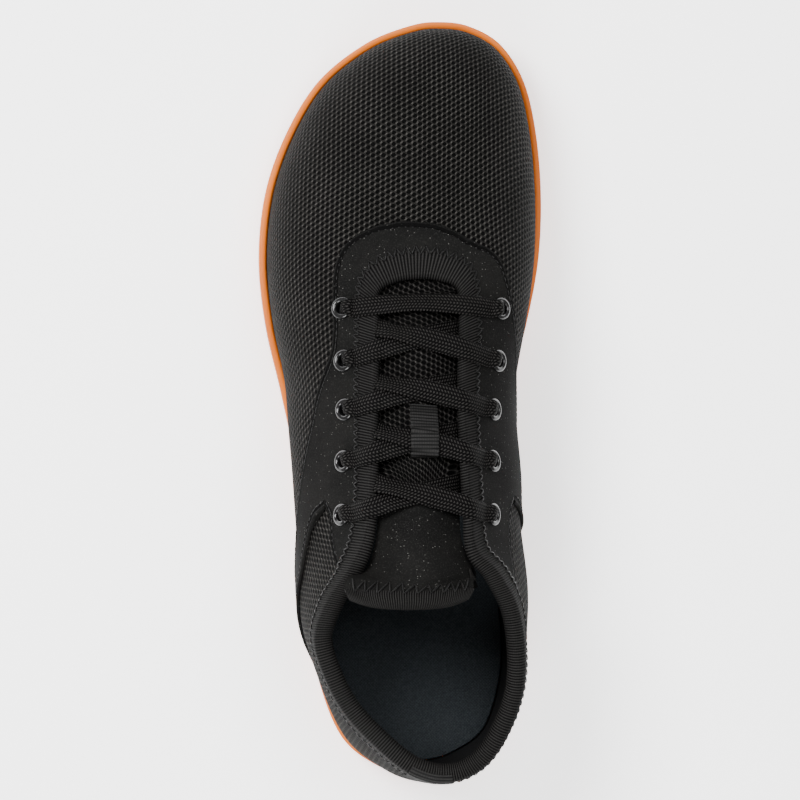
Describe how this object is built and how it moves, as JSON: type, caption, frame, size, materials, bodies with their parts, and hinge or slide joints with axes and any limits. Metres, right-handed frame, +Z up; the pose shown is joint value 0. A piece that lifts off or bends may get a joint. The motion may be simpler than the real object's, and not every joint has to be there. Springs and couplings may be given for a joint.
{
  "type": "barefoot shoe",
  "caption": "Low lace-up barefoot shoe for the left foot: thin rubber cup sole, wide toe box, hollow knitted upper with open collar and throat, tongue and flat laces.",
  "frame": {"origin": "on the floor below the middle of the shoe's length and width, standing on its sole", "axes": "+Z up, +Y towards the toe, +X towards the inner (medial) side of the left foot"},
  "size_m": [0.1041, 0.276, 0.0993],
  "materials": {
    "gum_rubber": "matte",
    "knit": "knitted mesh",
    "microfibre": "matte",
    "footbed": "woven",
    "braid": "braided",
    "webbing": "ribbed",
    "black_metal": "gloss"
  },
  "bodies": {
    "root": {"outsole": "gum_rubber", "insole": "footbed", "upper": "knit", "tongue": "microfibre", "eyelet_lateral_1": "black_metal", "eyelet_lateral_2": "black_metal", "eyelet_lateral_3": "black_metal", "eyelet_lateral_4": "black_metal", "eyelet_lateral_5": "black_metal", "eyelet_medial_1": "black_metal", "eyelet_medial_2": "black_metal", "eyelet_medial_3": "black_metal", "eyelet_medial_4": "black_metal", "eyelet_medial_5": "black_metal", "lace_bar_1": "braid", "lace_crossing_2": "braid", "lace_crossing_3": "braid", "lace_crossing_4": "braid", "lace_crossing_5": "braid", "lace_keeper": "webbing", "heel_tab": "webbing"}
  },
  "joints": []
}
